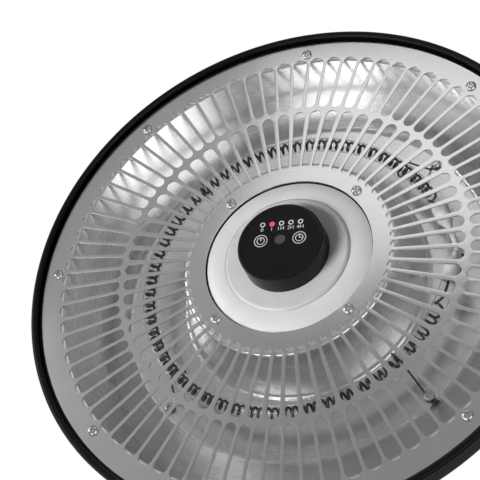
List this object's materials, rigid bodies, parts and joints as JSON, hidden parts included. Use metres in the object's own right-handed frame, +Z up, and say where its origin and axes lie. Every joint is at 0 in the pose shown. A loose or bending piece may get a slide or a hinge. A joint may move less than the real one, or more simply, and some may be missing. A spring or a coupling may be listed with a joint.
{
  "type": "electric patio heater",
  "caption": "Hanging electric patio heater: a black spun shade with a slotted underside grille over a ring lamp and reflector, touch controls in the centre and a swinging hanging eye.",
  "frame": {"origin": "centre of the hanging eye's hole", "axes": "+Z up; +X along the eye's hole and the clevis pin, and the way the panel reads for someone who looks up at it; the cable gland is on the -X side"},
  "size_m": [0.425, 0.425, 0.2515],
  "materials": {
    "shade_paint": "black satin powder coat",
    "inner_paint": "black paint",
    "grille_metal": "satin",
    "reflector_metal": "bright spun",
    "shield_metal": "mill finish",
    "screw_steel": "nickel plated",
    "dark_screw": "black plated",
    "dish_white": "white satin paint",
    "disc_white": "white satin paint",
    "box_plastic": "satin black, heat resistant",
    "panel_gloss": "gloss black with printed signs",
    "lens_clear": "clear light guide",
    "lens_red": "lit light guide",
    "ir_smoke": "smoked window",
    "quartz": "clear quartz",
    "carbon": "matt carbon coil",
    "steatite": "white unglazed",
    "sleeve_glass": "white glass-fibre sleeve",
    "clip_wire": "heat-blued spring wire",
    "seal_rubber": "black silicone",
    "wool": "mineral fibre",
    "plated_steel": "zinc plated",
    "board_green": "solder mask",
    "electronic_black": "moulded cases",
    "contact_brass": "plain",
    "nylon_white": "natural nylon",
    "lead_pvc": "insulated wire",
    "gland_plastic": "black polyamide"
  },
  "bodies": {
    "hanger": {"hanging_eye": "plated_steel"},
    "heater": {"shade": "shade_paint", "seat_ring": "inner_paint", "seat_rivets": "shade_paint", "grille": "grille_metal", "grille_screws": "screw_steel", "grille_nuts": "plated_steel", "reflector": "reflector_metal", "lead_grommet": "seal_rubber", "heat_shield": "shield_metal", "shield_spacers": "plated_steel", "insulation_pad": "wool", "thermal_cutout": "electronic_black", "lamp_tube": "quartz", "lamp_end_caps": "steatite", "lamp_filament": "carbon", "lamp_clips": "clip_wire", "clip_screws": "screw_steel", "clip_nuts": "plated_steel", "lamp_leads": "sleeve_glass", "hub_dish": "dish_white", "hub_disc": "disc_white", "hub_spider": "inner_paint", "hub_spacer": "plated_steel", "hub_stem": "plated_steel", "hub_stem_nut": "plated_steel", "control_box": "box_plastic", "control_panel": "panel_gloss", "power_lens": "lens_red", "panel_lenses": "lens_clear", "ir_window": "ir_smoke", "panel_board": "board_green", "panel_lights": "nylon_white", "touch_pads": "contact_brass", "control_screws": "dark_screw", "control_lead": "lead_pvc", "top_housing": "shade_paint", "housing_gaskets": "seal_rubber", "housing_screws": "screw_steel", "housing_nuts": "plated_steel", "top_cap": "shade_paint", "cap_screws": "dark_screw", "load_bridge": "plated_steel", "stud_spacer": "plated_steel", "clevis": "plated_steel", "clevis_washer": "plated_steel", "clevis_nut": "plated_steel", "clevis_pin": "plated_steel", "pin_clip": "plated_steel", "gland_body": "gland_plastic", "gland_seal": "seal_rubber", "gland_cap": "gland_plastic", "gland_locknut": "gland_plastic", "terminal_block": "nylon_white", "inner_screws": "screw_steel", "relay_board": "board_green", "board_standoffs": "nylon_white", "power_parts": "electronic_black", "inner_leads": "lead_pvc"}
  },
  "joints": [
    {"name": "heater_swing", "type": "hinge", "parent": "hanger", "child": "heater", "pos_m": [0, 0, -0.022], "axis": [1, 0, 0], "range_deg": [-75, 75]}
  ]
}
